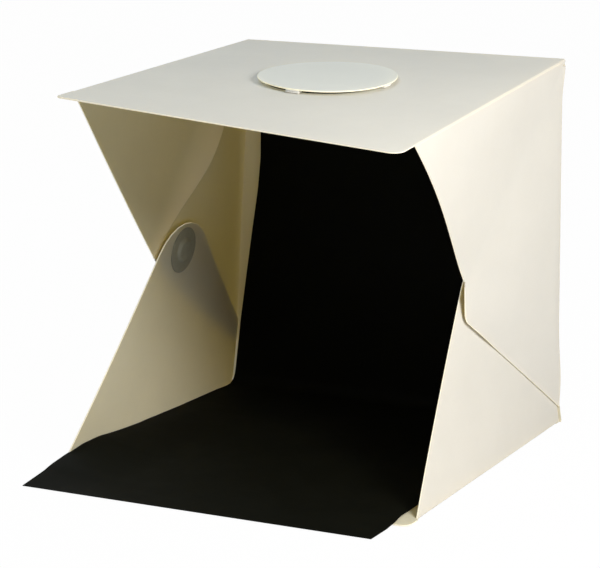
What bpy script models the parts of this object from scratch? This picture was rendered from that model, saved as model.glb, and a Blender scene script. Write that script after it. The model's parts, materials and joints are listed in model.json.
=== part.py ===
# Folding light tent: a small photo studio box of thin plastic sheet.
# The top, back and bottom are panels joined by creases. Each side is closed by three
# flaps: one creased to the top, one to the back and one to the bottom. Magnets hold
# the lower flap to the rear flap. A strip of lamps sits under the top's front edge, a
# round cover closes the top's shooting hole, and a black sheet sweeps down the back.
#
# Units are metres. +Z is up, the open front looks along -Y, and the origin lies on the
# surface that the tent stands on, under the middle of the bottom panel's depth.

import math

import bmesh
import bpy
from mathutils import Vector

# Whole tent
TOP_WIDTH = 0.230
TENT_HEIGHT = 0.240
FLAP_DEPTH = 0.214          # from the side flaps' front corners to the back's outer face
TOP_LIP = 0.021             # how far the top reaches in front of the side flaps
BOTTOM_LIP = 0.010          # how far the bottom reaches in front of the side flaps
FOOT_FLARE = {"left": 0.012, "right": 0.0}   # how far the foot stands outside the top's edge
SHEET = 0.0008              # thickness of every panel and flap
GAP = 0.0003                # clearance at creases and seats
PANEL_CORNER_RADIUS = 0.008
SIDES = {"left": -1, "right": 1}

# Lean of the flaps at rest, turned inward about their creases
UPPER_LEAN = {"left": 0.0, "right": math.radians(6.7)}
REAR_LEAN = {"left": math.radians(2.9), "right": math.radians(6.7)}
LOWER_LEAN = {"left": math.radians(7.0), "right": math.radians(8.4)}

# Side flaps
UPPER_TIP_RADIUS = 0.0015
CREASE_START = 0.003        # where the sloping crease begins, from the rear top corner
CREASE_CLEARANCE = 0.0020   # the rear flap's side of the open crease, measured downward
REAR_HEEL_HEIGHT = {"left": 0.030, "right": 0.0145}   # the rear flap's lower corner at the back
REAR_TIP_SETBACK = 0.0012
REAR_LOWER_SLOPE = {"left": math.radians(35.2), "right": math.radians(36.2)}
REAR_TIP_RADIUS = 0.010
LOWER_REAR_CLEARANCE = 0.006
LOWER_HEEL_HEIGHT = 0.0465
LOWER_REAR_SLOPE = math.radians(52.3)
LOWER_TIP_RADIUS = 0.0367

# Magnets that pair the lower and rear flaps
MAGNET_RADIUS = 0.006
MAGNET_THICKNESS = 0.0015
MAGNET_BEVEL = 0.0002
MAGNET_BEHIND_CREASE = 0.029   # behind the sloping crease's lower end
MAGNET_BELOW_CREASE = 0.004
PATCH_RADIUS = 0.015
PATCH_FILM = 0.0004
PATCH_SHOULDER = 0.0015     # width of the slope from the cap down to the flange

# Shooting hole and its cover
HOLE_RADIUS = 0.038
HOLE_FROM_REAR = 0.107
COVER_RADIUS = 0.044
FASTENER_THICKNESS = 0.0008  # one half of a hook and loop pad
COVER_PAD_WIDTH = 0.009
COVER_PAD_DEPTH = 0.0048
COVER_PAD_COUNT = 4
CUT_OVERRUN = 0.002

# Lamp strip
BOARD_LENGTH = 0.200
BOARD_WIDTH = 0.010
BOARD_THICKNESS = 0.0012
BOARD_CORNER_RADIUS = 0.001
BOARD_FROM_FRONT = 0.019    # top's front edge to the board's middle
TAPE_THICKNESS = 0.0008
TAPE_INSET = 0.0008
LAMP_COUNT = 20
LAMP_LENGTH = 0.0035
LAMP_WIDTH = 0.0028
LAMP_HEIGHT = 0.0008
LAMP_RIM = 0.0005
LAMP_WELL = 0.0003
LAMP_FROM_REAR_EDGE = 0.0036
LAMP_END_MARGIN = 0.014
RESISTOR_COUNT = 4
RESISTOR_LENGTH = 0.0032
RESISTOR_WIDTH = 0.0016
RESISTOR_HEIGHT = 0.0006
RESISTOR_CAP = 0.0005
RESISTOR_CAP_STEP = 0.0001
RESISTOR_FROM_FRONT_EDGE = 0.0024

# Power socket on the strip's right end
SOCKET_WIDTH = 0.0078
SOCKET_HEIGHT = 0.0028
SOCKET_LENGTH = 0.0056
SOCKET_WALL = 0.00035
SOCKET_CHAMFER = 0.0009
SOCKET_OVERHANG = 0.0006    # how far its mouth passes the board's end
TONGUE_WIDTH = 0.0038
TONGUE_THICKNESS = 0.0006
TONGUE_RECESS = 0.0008

# Black backdrop sheet
BACKDROP_THICKNESS = 0.0005
BACKDROP_TOP_DROP = 0.010   # below the top of the tent
BACKDROP_BEND_RADIUS = 0.009
APRON_REACH = 0.040         # in front of the side flaps
APRON_LEFT = 0.1363         # front corners, from the tent's middle plane
APRON_RIGHT = 0.1052
BACKDROP_TOP_LEFT = 0.1007
BACKDROP_SLANT_HEIGHT = 0.155  # the left edge slants in up to this height, then hangs straight
BACKDROP_EDGE_CLEARANCE = 0.0008
BACKDROP_FLOOR_GAP = 0.0004
EDGE_LIFT = 0.010           # how far the left edge rides up the lower flap's foot
EDGE_LIFT_WIDTH = 0.050
FLOOR_RIPPLE = 0.0016
BACKDROP_COLUMNS = 15
BACKDROP_ROWS = 34
BACKDROP_PAD_WIDTH = 0.020
BACKDROP_PAD_HEIGHT = 0.010
BACKDROP_PAD_DROP = 0.014   # pad centre below the top of the tent
BACKDROP_PAD_COUNT = 2
BACKDROP_PAD_INSET = 0.040  # pad centre from the top's side edge

# Counts of facets
ARC_STEPS = 8
ROUND_STEPS = 72
SMALL_ROUND_STEPS = 36

# Places that follow from the sizes above
HALF_WIDTH = TOP_WIDTH / 2
BOTTOM_DEPTH = FLAP_DEPTH + BOTTOM_LIP
REAR_FACE = BOTTOM_DEPTH / 2
FLAP_FRONT = REAR_FACE - FLAP_DEPTH
BOTTOM_FRONT = FLAP_FRONT - BOTTOM_LIP
TOP_FRONT = FLAP_FRONT - TOP_LIP
CREASE_REACH = TENT_HEIGHT / 2      # the sloping crease falls as far as it comes forward
MAGNET_REACH = CREASE_REACH - MAGNET_BEHIND_CREASE
MAGNET_HEIGHT = CREASE_REACH - MAGNET_BELOW_CREASE
SEAM = SHEET + GAP                  # a panel and the clearance beside it
TOP_UNDERSIDE = TENT_HEIGHT - SHEET
HOLE_CENTRE_Y = REAR_FACE - HOLE_FROM_REAR
COVER_UNDERSIDE = TENT_HEIGHT + 2 * FASTENER_THICKNESS + 3 * GAP


def clear_scene():
    for old in list(bpy.data.objects):
        bpy.data.objects.remove(old, do_unlink=True)


def make_material(name, colour, roughness, metallic=0.0):
    material = bpy.data.materials.new(name)
    material.use_nodes = True
    shader = material.node_tree.nodes["Principled BSDF"]
    shader.inputs["Base Color"].default_value = (*colour, 1.0)
    shader.inputs["Roughness"].default_value = roughness
    shader.inputs["Metallic"].default_value = metallic
    return material


def make_object(name, mesh_builder, material, parent=None):
    # mesh_builder is a bmesh that already holds the shape in the object's own axes
    bmesh.ops.recalc_face_normals(mesh_builder, faces=mesh_builder.faces)
    mesh = bpy.data.meshes.new(name)
    mesh_builder.to_mesh(mesh)
    mesh_builder.free()
    mesh.shade_smooth()
    mesh.set_sharp_from_angle(angle=math.radians(30))
    obj = bpy.data.objects.new(name, mesh)
    obj.data.materials.append(material)
    obj.parent = parent
    bpy.context.collection.objects.link(obj)
    return obj


def make_pivot(name, location, turn=(0.0, 0.0, 0.0), parent=None):
    # An empty on a joint's axis; its turn about local Z comes first, then about Y
    pivot = bpy.data.objects.new(name, None)
    pivot.location = location
    pivot.rotation_mode = "ZYX"
    pivot.rotation_euler = turn
    pivot.parent = parent
    bpy.context.collection.objects.link(pivot)
    return pivot


def place_from(pivot_at, point):
    # A point given in the tent's frame, as seen from an unturned pivot
    return tuple(p - q for p, q in zip(point, pivot_at))


# Outlines are lists of 2-D points, and a corner is (along, up, radius)

def rounded_outline(corners):
    points = []
    count = len(corners)
    for index, (along, up, radius) in enumerate(corners):
        here = Vector((along, up))
        if radius == 0:
            points.append(here)
            continue
        before = Vector(corners[index - 1][:2]) - here
        after = Vector(corners[(index + 1) % count][:2]) - here
        before.normalize()
        after.normalize()
        half_angle = before.angle(after) / 2
        centre = here + (before + after).normalized() * radius / math.sin(half_angle)
        start = here + before * radius / math.tan(half_angle) - centre
        end = here + after * radius / math.tan(half_angle) - centre
        sweep = start.angle_signed(end)
        for step in range(ARC_STEPS + 1):
            turn = -sweep * step / ARC_STEPS
            cosine, sine = math.cos(turn), math.sin(turn)
            points.append(centre + Vector((start.x * cosine - start.y * sine,
                                           start.x * sine + start.y * cosine)))
    return points


def plate(outline, to_space, thickness_step):
    # Fills an outline, placed in space by to_space, and extrudes it by thickness_step
    shape = bmesh.new()
    face = shape.faces.new([shape.verts.new(to_space(point)) for point in outline])
    pushed = bmesh.ops.extrude_face_region(shape, geom=[face])
    moved = [item for item in pushed["geom"] if isinstance(item, bmesh.types.BMVert)]
    bmesh.ops.translate(shape, verts=moved, vec=thickness_step)
    return shape


def turned(profile, steps):
    # Revolves a closed profile of (radius, height) points about local Z
    shape = bmesh.new()
    rings = []
    for radius, height in profile:
        if radius == 0:
            rings.append([shape.verts.new((0.0, 0.0, height))])
            continue
        ring = []
        for step in range(steps):
            angle = 2 * math.pi * step / steps
            ring.append(shape.verts.new((radius * math.cos(angle), radius * math.sin(angle), height)))
        rings.append(ring)
    for lower, upper in zip(rings, rings[1:] + rings[:1]):
        for step in range(steps):
            following = (step + 1) % steps
            quad = [lower[step % len(lower)], lower[following % len(lower)],
                    upper[following % len(upper)], upper[step % len(upper)]]
            corners = list(dict.fromkeys(quad))
            if len(corners) > 2:
                shape.faces.new(corners)
    return shape


def block(size):
    # One closed box about its own centre
    shape = bmesh.new()
    made = bmesh.ops.create_cube(shape, size=1.0)
    bmesh.ops.scale(shape, verts=made["verts"], vec=size)
    return shape


def make_copies(obj, places):
    # The object takes the first place, and each further place gets a copy that shares its mesh
    stem = obj.name
    for index, place in enumerate(places):
        piece = obj if index == 0 else obj.copy()
        piece.name = stem + "_" + str(index + 1)
        piece.location = place
        if index > 0:
            bpy.context.collection.objects.link(piece)


def spread(count, length):
    # Centres of count pieces spread evenly over a length, middle at zero
    return [length * (index / (count - 1) - 1 / 2) for index in range(count)]


clear_scene()

cream_sheet = make_material("cream_sheet", (0.80, 0.79, 0.74), 0.42)
black_sheet = make_material("black_sheet", (0.008, 0.009, 0.007), 0.62)
magnet_metal = make_material("magnet_metal", (0.42, 0.43, 0.45), 0.28, 1.0)
patch_film = make_material("patch_film", (0.55, 0.56, 0.52), 0.35)
fastener_white = make_material("fastener_white", (0.82, 0.81, 0.78), 0.90)
fastener_black = make_material("fastener_black", (0.015, 0.015, 0.015), 0.90)
board_white = make_material("board_white", (0.72, 0.73, 0.70), 0.40)
tape_foam = make_material("tape_foam", (0.70, 0.70, 0.66), 0.75)
lamp_yellow = make_material("lamp_yellow", (0.80, 0.62, 0.18), 0.30)
resistor_black = make_material("resistor_black", (0.02, 0.02, 0.02), 0.35)
socket_steel = make_material("socket_steel", (0.62, 0.62, 0.63), 0.25, 1.0)
tongue_black = make_material("tongue_black", (0.015, 0.015, 0.016), 0.50)


# Joint axes. The back tilts rearward about its foot, the top folds down about the
# back's upper edge, and each flap turns about the panel edge that carries it.

back_foot = (0.0, REAR_FACE, SEAM)
top_edge = (0.0, REAR_FACE - SEAM, TOP_UNDERSIDE)
back_pivot = make_pivot("back_tilt_axis", back_foot)
top_pivot = make_pivot("top_fold_axis", place_from(back_foot, top_edge), parent=back_pivot)


def side_name(side, piece):
    return side + "_" + piece


def foot_half_width(side):
    return HALF_WIDTH + FOOT_FLARE[side]


def build_bottom_panel():
    # Stands between the lower flaps' outer faces; its front corners are rounded
    left = -(foot_half_width("left") - SEAM)
    right = foot_half_width("right") - SEAM
    outline = rounded_outline([
        (left, REAR_FACE, 0), (left, BOTTOM_FRONT, PANEL_CORNER_RADIUS),
        (right, BOTTOM_FRONT, PANEL_CORNER_RADIUS), (right, REAR_FACE, 0)])
    shape = plate(outline, lambda p: (p.x, p.y, 0.0), (0.0, 0.0, SHEET))
    return make_object("bottom_panel", shape, cream_sheet)


def build_back_panel():
    # Wider at its foot than at the top where the sides flare
    outline = rounded_outline([
        (-edge_at("left", SEAM), SEAM, 0), (edge_at("right", SEAM), SEAM, 0),
        (edge_at("right", TENT_HEIGHT - SEAM), TENT_HEIGHT - SEAM, 0),
        (-edge_at("left", TENT_HEIGHT - SEAM), TENT_HEIGHT - SEAM, 0)])

    def stand(point):
        return place_from(back_foot, (point.x, REAR_FACE - SHEET, point.y))

    shape = plate(outline, stand, (0.0, SHEET, 0.0))
    return make_object("back_panel", shape, cream_sheet, back_pivot)


def edge_at(side, height):
    # Half width of the back panel on one side, at a height above the ground
    return HALF_WIDTH + FOOT_FLARE[side] * (1 - height / TENT_HEIGHT)


def build_top_panel():
    # Reaches in front of the flaps, and has the round shooting hole
    outline = rounded_outline([
        (-HALF_WIDTH, REAR_FACE, 0), (-HALF_WIDTH, TOP_FRONT, PANEL_CORNER_RADIUS),
        (HALF_WIDTH, TOP_FRONT, PANEL_CORNER_RADIUS), (HALF_WIDTH, REAR_FACE, 0)])

    def lay(point):
        return place_from(top_edge, (point.x, point.y, TOP_UNDERSIDE))

    panel = make_object("top_panel", plate(outline, lay, (0.0, 0.0, SHEET)), cream_sheet, top_pivot)
    cutter_shape = turned([(0, -CUT_OVERRUN), (HOLE_RADIUS, -CUT_OVERRUN),
                           (HOLE_RADIUS, SHEET + CUT_OVERRUN), (0, SHEET + CUT_OVERRUN)], ROUND_STEPS)
    cutter = make_object("shooting_hole_cutter", cutter_shape, cream_sheet, top_pivot)
    cutter.location = place_from(top_edge, (0.0, HOLE_CENTRE_Y, TOP_UNDERSIDE))
    cutter.hide_render = True
    cutter.display_type = "WIRE"
    cut = panel.modifiers.new("shooting hole", "BOOLEAN")
    cut.operation = "DIFFERENCE"
    cut.solver = "EXACT"
    cut.object = cutter
    return panel


def upper_flap_outline():
    # (reach in front of the back's outer face, height); the crease falls at 45 degrees
    crease_sum = TENT_HEIGHT + GAP
    top = TENT_HEIGHT - SEAM
    return rounded_outline([
        (FLAP_DEPTH, top, 0), (CREASE_START, top, 0), (CREASE_START, crease_sum - CREASE_START, 0),
        (CREASE_REACH, crease_sum - CREASE_REACH, UPPER_TIP_RADIUS)])


def rear_flap_outline(side):
    crease_sum = TENT_HEIGHT - CREASE_CLEARANCE
    tip_reach = CREASE_REACH - REAR_TIP_SETBACK
    heel = REAR_HEEL_HEIGHT[side]
    tip_height = heel + (tip_reach - SEAM) * math.tan(REAR_LOWER_SLOPE[side])
    start = CREASE_START + GAP
    return rounded_outline([
        (SEAM, heel, 0), (SEAM, crease_sum - start, 0), (start, crease_sum - start, 0),
        (tip_reach, crease_sum - tip_reach, 0), (tip_reach, tip_height, REAR_TIP_RADIUS)])


def lower_flap_outline():
    # Two straight edges meet in a large rounded tip. The front edge aims at the crease's end
    front = FLAP_DEPTH - GAP
    front_slope = CREASE_REACH / (FLAP_DEPTH - CREASE_REACH)
    rear_slope = math.tan(LOWER_REAR_SLOPE)
    rear = LOWER_REAR_CLEARANCE
    apex = (front_slope * FLAP_DEPTH - LOWER_HEEL_HEIGHT + rear_slope * rear) / (front_slope + rear_slope)
    apex_height = LOWER_HEEL_HEIGHT + (apex - rear) * rear_slope
    return rounded_outline([
        (front, SEAM, 0), (rear, SEAM, 0), (rear, LOWER_HEEL_HEIGHT, 0),
        (apex, apex_height, LOWER_TIP_RADIUS)])


def upper_axis(side):
    return (SIDES[side] * (HALF_WIDTH - SHEET), 0.0, TENT_HEIGHT - SEAM)


def lower_axis(side):
    return (SIDES[side] * (foot_half_width(side) - SEAM - SHEET), 0.0, SEAM)


def rear_axis(side):
    # Foot of the slanting axis, at ground height
    return (SIDES[side] * (foot_half_width(side) - SHEET), REAR_FACE - SEAM, 0.0)


def build_upper_flap(side):
    sign = SIDES[side]
    axis = upper_axis(side)
    pivot = make_pivot(side_name(side, "upper_flap_axis"), place_from(top_edge, axis),
                       (0.0, sign * UPPER_LEAN[side], 0.0), top_pivot)

    def hang(point):
        return (0.0, REAR_FACE - point.x - axis[1], point.y - axis[2])

    shape = plate(upper_flap_outline(), hang, (sign * SHEET, 0.0, 0.0))
    return make_object(side_name(side, "upper_flap"), shape, cream_sheet, pivot)


def build_rear_flap(side):
    sign = SIDES[side]
    slant = math.atan(FOOT_FLARE[side] / TENT_HEIGHT)
    pivot = make_pivot(side_name(side, "rear_flap_axis"), place_from(back_foot, rear_axis(side)),
                       (0.0, -sign * slant, -sign * REAR_LEAN[side]), back_pivot)

    def hang(point):
        return (0.0, SEAM - point.x, point.y)

    shape = plate(rear_flap_outline(side), hang, (sign * SHEET, 0.0, 0.0))
    make_object(side_name(side, "rear_flap"), shape, cream_sheet, pivot)
    magnet = make_object(side_name(side, "rear_magnet"), magnet_shape(), magnet_metal, pivot)
    face_inward(magnet, sign)
    magnet.location = (-sign * GAP, SEAM - MAGNET_REACH, MAGNET_HEIGHT)


def build_lower_flap(side):
    sign = SIDES[side]
    axis = lower_axis(side)
    pivot = make_pivot(side_name(side, "lower_flap_axis"), axis, (0.0, -sign * LOWER_LEAN[side], 0.0))

    def stand(point):
        return (0.0, REAR_FACE - point.x, point.y - axis[2])

    shape = plate(lower_flap_outline(), stand, (sign * SHEET, 0.0, 0.0))
    make_object(side_name(side, "lower_flap"), shape, cream_sheet, pivot)
    magnet_at = (-sign * GAP, REAR_FACE - MAGNET_REACH, MAGNET_HEIGHT - axis[2])
    magnet = make_object(side_name(side, "lower_magnet"), magnet_shape(), magnet_metal, pivot)
    patch = make_object(side_name(side, "magnet_patch"), patch_shape(), patch_film, pivot)
    for piece in (magnet, patch):
        face_inward(piece, sign)
        piece.location = magnet_at


def face_inward(obj, sign):
    # Turns local Z away from the flap's inner face, towards the tent's middle
    obj.rotation_euler = (0.0, -sign * math.pi / 2, 0.0)


def magnet_shape():
    rim = MAGNET_RADIUS - MAGNET_BEVEL
    return turned([(0, 0), (rim, 0), (MAGNET_RADIUS, MAGNET_BEVEL),
                   (MAGNET_RADIUS, MAGNET_THICKNESS - MAGNET_BEVEL), (rim, MAGNET_THICKNESS),
                   (0, MAGNET_THICKNESS)], SMALL_ROUND_STEPS)


def patch_shape():
    # A film that caps the magnet and lies flat on the flap around it
    inner_wall = MAGNET_RADIUS + GAP
    inner_foot = inner_wall + PATCH_SHOULDER
    outer_wall = inner_wall + PATCH_FILM
    outer_foot = inner_foot + PATCH_FILM
    ceiling = MAGNET_THICKNESS + GAP
    return turned([(0, ceiling), (inner_wall, ceiling), (inner_foot, 0), (PATCH_RADIUS, 0),
                   (PATCH_RADIUS, PATCH_FILM), (outer_foot, PATCH_FILM),
                   (outer_wall, ceiling + PATCH_FILM), (0, ceiling + PATCH_FILM)], SMALL_ROUND_STEPS)


def build_cover_pads(name, base_height):
    # Small hook or loop pads around the hole, between its rim and the cover's edge
    middle = (HOLE_RADIUS + COVER_RADIUS) / 2
    for index in range(COVER_PAD_COUNT):
        angle = 2 * math.pi * index / COVER_PAD_COUNT
        pad = make_object(name + "_" + str(index + 1),
                          block((COVER_PAD_DEPTH, COVER_PAD_WIDTH, FASTENER_THICKNESS)),
                          fastener_white, top_pivot)
        pad.rotation_euler = (0.0, 0.0, angle)
        pad.location = place_from(top_edge, (
            middle * math.cos(angle), HOLE_CENTRE_Y + middle * math.sin(angle),
            base_height + FASTENER_THICKNESS / 2))


def build_cover():
    profile = [(0, 0), (COVER_RADIUS, 0), (COVER_RADIUS, SHEET), (0, SHEET)]
    cover = make_object("top_cover", turned(profile, ROUND_STEPS), cream_sheet, top_pivot)
    cover.location = place_from(top_edge, (0.0, HOLE_CENTRE_Y, COVER_UNDERSIDE))
    build_cover_pads("cover_hook_pad", TENT_HEIGHT + GAP)
    build_cover_pads("cover_loop_pad", COVER_UNDERSIDE - GAP - FASTENER_THICKNESS)


# Lamp strip, hung under the top: tape, board, lamps and resistors from the top down

BOARD_CENTRE_Y = TOP_FRONT + BOARD_FROM_FRONT
TAPE_TOP = TOP_UNDERSIDE - GAP
BOARD_TOP = TAPE_TOP - TAPE_THICKNESS - GAP
BOARD_UNDERSIDE = BOARD_TOP - BOARD_THICKNESS
CHIP_TOP = BOARD_UNDERSIDE - GAP


def strip_plate(name, length, width, radius, top, thickness, material):
    outline = rounded_outline([
        (-length / 2, -width / 2, radius), (length / 2, -width / 2, radius),
        (length / 2, width / 2, radius), (-length / 2, width / 2, radius)])

    def lay(point):
        return place_from(top_edge, (point.x, BOARD_CENTRE_Y + point.y, top - thickness))

    return make_object(name, plate(outline, lay, (0.0, 0.0, thickness)), material, top_pivot)


def build_lamps():
    # Each lamp is a block with a sunken window on its underside
    shape = block((LAMP_LENGTH, LAMP_WIDTH, LAMP_HEIGHT))
    window = [face for face in shape.faces if all(v.co.z < 0 for v in face.verts)]
    bmesh.ops.inset_region(shape, faces=window, thickness=LAMP_RIM)
    sunk = {v for face in window for v in face.verts}
    bmesh.ops.translate(shape, verts=list(sunk), vec=(0.0, 0.0, LAMP_WELL))
    row_y = BOARD_CENTRE_Y + BOARD_WIDTH / 2 - LAMP_FROM_REAR_EDGE
    places = [place_from(top_edge, (along, row_y, CHIP_TOP - LAMP_HEIGHT / 2))
              for along in spread(LAMP_COUNT, BOARD_LENGTH - 2 * LAMP_END_MARGIN)]
    make_copies(make_object("lamp", shape, lamp_yellow, top_pivot), places)


def build_resistors():
    # A ceramic body between two end caps that stand a little proud of it
    half = RESISTOR_LENGTH / 2
    body = RESISTOR_HEIGHT - RESISTOR_CAP_STEP
    profile = [(-half, 0.0), (half, 0.0), (half, RESISTOR_HEIGHT), (half - RESISTOR_CAP, RESISTOR_HEIGHT),
               (half - RESISTOR_CAP, body), (RESISTOR_CAP - half, body),
               (RESISTOR_CAP - half, RESISTOR_HEIGHT), (-half, RESISTOR_HEIGHT)]

    def lay(point):
        return (point[0], -RESISTOR_WIDTH / 2, -point[1])

    shape = plate(profile, lay, (0.0, RESISTOR_WIDTH, 0.0))
    row_y = BOARD_CENTRE_Y - BOARD_WIDTH / 2 + RESISTOR_FROM_FRONT_EDGE
    places = [place_from(top_edge, (along, row_y, CHIP_TOP))
              for along in spread(RESISTOR_COUNT, BOARD_LENGTH - 4 * LAMP_END_MARGIN)]
    make_copies(make_object("strip_resistor", shape, resistor_black, top_pivot), places)


def build_socket():
    # A folded steel shell with two cut-off lower corners, open to the right
    half = SOCKET_WIDTH / 2
    mouth_x = BOARD_LENGTH / 2 + SOCKET_OVERHANG
    outline = rounded_outline([
        (-half, 0.0, 0), (-half, SOCKET_CHAMFER - SOCKET_HEIGHT, 0),
        (SOCKET_CHAMFER - half, -SOCKET_HEIGHT, 0), (half - SOCKET_CHAMFER, -SOCKET_HEIGHT, 0),
        (half, SOCKET_CHAMFER - SOCKET_HEIGHT, 0), (half, 0.0, 0)])

    def stand(point):
        return place_from(top_edge, (mouth_x - SOCKET_LENGTH, BOARD_CENTRE_Y + point.x,
                                     CHIP_TOP + point.y))

    shape = plate(outline, stand, (SOCKET_LENGTH, 0.0, 0.0))
    mouth = [face for face in shape.faces if all(v.co.x > mouth_x - SOCKET_LENGTH / 2 for v in face.verts)]
    bmesh.ops.inset_region(shape, faces=mouth, thickness=SOCKET_WALL, use_even_offset=True)
    pushed = bmesh.ops.extrude_face_region(shape, geom=mouth)
    bmesh.ops.delete(shape, geom=mouth, context="FACES_ONLY")
    sunk = [item for item in pushed["geom"] if isinstance(item, bmesh.types.BMVert)]
    bmesh.ops.translate(shape, verts=sunk, vec=(SOCKET_WALL - SOCKET_LENGTH, 0.0, 0.0))
    make_object("power_socket", shape, socket_steel, top_pivot)

    floor_x = mouth_x - SOCKET_LENGTH + SOCKET_WALL + GAP
    length = mouth_x - TONGUE_RECESS - floor_x
    height = CHIP_TOP - SOCKET_WALL - GAP - TONGUE_THICKNESS / 2
    tongue = make_object("socket_tongue", block((length, TONGUE_WIDTH, TONGUE_THICKNESS)),
                         tongue_black, top_pivot)
    tongue.location = place_from(top_edge, (floor_x + length / 2, BOARD_CENTRE_Y, height))


def build_lamp_strip():
    strip_plate("lamp_tape", BOARD_LENGTH - 2 * TAPE_INSET, BOARD_WIDTH - 2 * TAPE_INSET,
                BOARD_CORNER_RADIUS, TAPE_TOP, TAPE_THICKNESS, tape_foam)
    strip_plate("lamp_board", BOARD_LENGTH, BOARD_WIDTH, BOARD_CORNER_RADIUS, BOARD_TOP,
                BOARD_THICKNESS, board_white)
    build_lamps()
    build_resistors()
    build_socket()


# Backdrop: hangs from pads on the back, turns forward at the floor and runs out of the
# front as an apron. Its left edge rides up the lower flap's foot.

PAD_FACE_Y = REAR_FACE - SHEET - 2 * FASTENER_THICKNESS - 3 * GAP
BACKDROP_BACK_Y = PAD_FACE_Y - BACKDROP_THICKNESS / 2
BACKDROP_TOP = TENT_HEIGHT - BACKDROP_TOP_DROP
BACKDROP_FLOOR = SHEET + BACKDROP_FLOOR_GAP + BACKDROP_THICKNESS / 2
APRON_FRONT = FLAP_FRONT - APRON_REACH


def smooth_step(value):
    held = min(1.0, max(0.0, value))
    return held * held * (3 - 2 * held)


def sweep_line(run):
    # Depth and height of the sheet's middle line, a distance down from its upper edge
    drop_length = BACKDROP_TOP - BACKDROP_FLOOR - BACKDROP_BEND_RADIUS
    if run < drop_length:
        return BACKDROP_BACK_Y, BACKDROP_TOP - run
    turn = (run - drop_length) / BACKDROP_BEND_RADIUS
    if turn < math.pi / 2:
        return (BACKDROP_BACK_Y - BACKDROP_BEND_RADIUS * (1 - math.cos(turn)),
                BACKDROP_FLOOR + BACKDROP_BEND_RADIUS * (1 - math.sin(turn)))
    past = run - drop_length - BACKDROP_BEND_RADIUS * math.pi / 2
    depth = BACKDROP_BACK_Y - BACKDROP_BEND_RADIUS - past
    step_down = smooth_step((BOTTOM_FRONT - depth) / BOTTOM_LIP)
    return depth, BACKDROP_FLOOR - SHEET * step_down


def backdrop_point(across_share, run):
    depth, height = sweep_line(run)
    on_floor = smooth_step((BACKDROP_BACK_Y - depth) / (4 * BACKDROP_BEND_RADIUS))
    floor_share = (BACKDROP_BACK_Y - depth) / (BACKDROP_BACK_Y - FLAP_FRONT)
    ripple_share = math.sin(math.pi * min(1.0, floor_share)) ** 2
    wave = 1 + math.cos(2 * math.pi * (2 * floor_share + across_share))
    height += FLOOR_RIPPLE * ripple_share * wave / 2

    front_fade = 1 - smooth_step((FLAP_FRONT - depth) / APRON_REACH)
    lift_share = (0.3 + 0.7 * smooth_step(floor_share)) * on_floor * front_fade
    edge_lift = EDGE_LIFT * lift_share

    foot = foot_half_width("left") - SEAM - SHEET - BACKDROP_EDGE_CLEARANCE
    up_share = min(1.0, (height - BACKDROP_FLOOR) / BACKDROP_SLANT_HEIGHT)
    left = -foot + (foot - BACKDROP_TOP_LEFT) * up_share
    left += edge_lift * math.tan(LOWER_LEAN["left"])
    left -= (APRON_LEFT - foot) * (1 - front_fade)
    side = left + (APRON_RIGHT - left) * across_share
    from_edge = (side - left) / EDGE_LIFT_WIDTH
    height += edge_lift * (1 - smooth_step(from_edge))
    return side, depth, height


def build_backdrop():
    total = (BACKDROP_TOP - BACKDROP_FLOOR - BACKDROP_BEND_RADIUS + BACKDROP_BEND_RADIUS * math.pi / 2
             + BACKDROP_BACK_Y - BACKDROP_BEND_RADIUS - APRON_FRONT)
    bend_start = BACKDROP_TOP - BACKDROP_FLOOR - BACKDROP_BEND_RADIUS
    bend_length = BACKDROP_BEND_RADIUS * math.pi / 2
    bend_rows = BACKDROP_ROWS // 5
    hang_rows = BACKDROP_ROWS // 4
    floor_rows = BACKDROP_ROWS - bend_rows - hang_rows
    runs = [bend_start * row / hang_rows for row in range(hang_rows)]
    runs += [bend_start + bend_length * row / bend_rows for row in range(bend_rows)]
    floor_start = bend_start + bend_length
    runs += [floor_start + (total - floor_start) * row / floor_rows for row in range(floor_rows + 1)]

    # Columns lie closer together near the left edge, where the sheet lifts
    shares = [(column / BACKDROP_COLUMNS) ** 1.4 for column in range(BACKDROP_COLUMNS + 1)]
    shape = bmesh.new()
    grid = [[shape.verts.new(backdrop_point(share, run)) for share in shares] for run in runs]
    for upper, lower in zip(grid, grid[1:]):
        for column in range(BACKDROP_COLUMNS):
            shape.faces.new((upper[column], lower[column], lower[column + 1], upper[column + 1]))
    sheet = make_object("backdrop", shape, black_sheet)
    thicken = sheet.modifiers.new("sheet thickness", "SOLIDIFY")
    thicken.thickness = BACKDROP_THICKNESS
    thicken.offset = 0.0
    thicken.use_even_offset = True


def build_backdrop_pads(name, front_y, material, pivot, pivot_at):
    pad = make_object(name, block((BACKDROP_PAD_WIDTH, FASTENER_THICKNESS, BACKDROP_PAD_HEIGHT)),
                      material, pivot)
    places = [place_from(pivot_at, (along, front_y + FASTENER_THICKNESS / 2, TENT_HEIGHT - BACKDROP_PAD_DROP))
              for along in spread(BACKDROP_PAD_COUNT, TOP_WIDTH - 2 * BACKDROP_PAD_INSET)]
    make_copies(pad, places)


build_bottom_panel()
build_back_panel()
build_top_panel()
for side_of_tent in SIDES:
    build_upper_flap(side_of_tent)
    build_rear_flap(side_of_tent)
    build_lower_flap(side_of_tent)
build_cover()
build_lamp_strip()
build_backdrop()
build_backdrop_pads("backdrop_hook_pad", REAR_FACE - SHEET - GAP - FASTENER_THICKNESS, fastener_white,
                    back_pivot, back_foot)
build_backdrop_pads("backdrop_loop_pad", PAD_FACE_Y + GAP, fastener_black, None, (0.0, 0.0, 0.0))
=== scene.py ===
import json
import math

import bmesh
import bpy
import numpy as np
from mathutils import Matrix, Vector
from mathutils.geometry import delaunay_2d_cdt


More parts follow.
